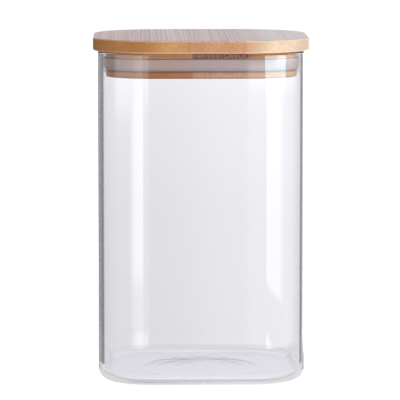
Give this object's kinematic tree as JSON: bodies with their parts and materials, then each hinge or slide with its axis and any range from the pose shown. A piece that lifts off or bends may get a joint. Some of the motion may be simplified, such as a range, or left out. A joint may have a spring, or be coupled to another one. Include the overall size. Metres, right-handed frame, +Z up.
{
  "type": "lidded glass canister",
  "caption": "Square clear glass storage canister with rounded corners, a rounded heel and a flat bamboo lid whose grooved plug carries a soft seal and lifts straight out.",
  "frame": {"origin": "middle of the base, on the surface that the jar stands on", "axes": "+Z up through the lid, the way the lid lifts; +X to the right and +Y away from someone who faces the front"},
  "size_m": [0.105, 0.105, 0.1664],
  "materials": {
    "clear_glass": "clear, fire-polished",
    "bamboo_cover": "sanded and oiled bamboo, satin",
    "bamboo_plug": "milled bamboo, satin",
    "silicone": "milky translucent silicone"
  },
  "bodies": {
    "jar": {"glass_jar": "clear_glass"},
    "lid": {"cover_stave_1": "bamboo_cover", "cover_stave_2": "bamboo_cover", "cover_stave_3": "bamboo_cover", "cover_stave_4": "bamboo_cover", "plug_stave_1": "bamboo_plug", "plug_stave_2": "bamboo_plug", "plug_stave_3": "bamboo_plug", "plug_stave_4": "bamboo_plug", "seal_ring": "silicone"}
  },
  "joints": [
    {"name": "lid_lift", "type": "slide", "parent": "jar", "child": "lid", "axis": [0, 0, 1], "range_m": [0, 0.06]}
  ]
}
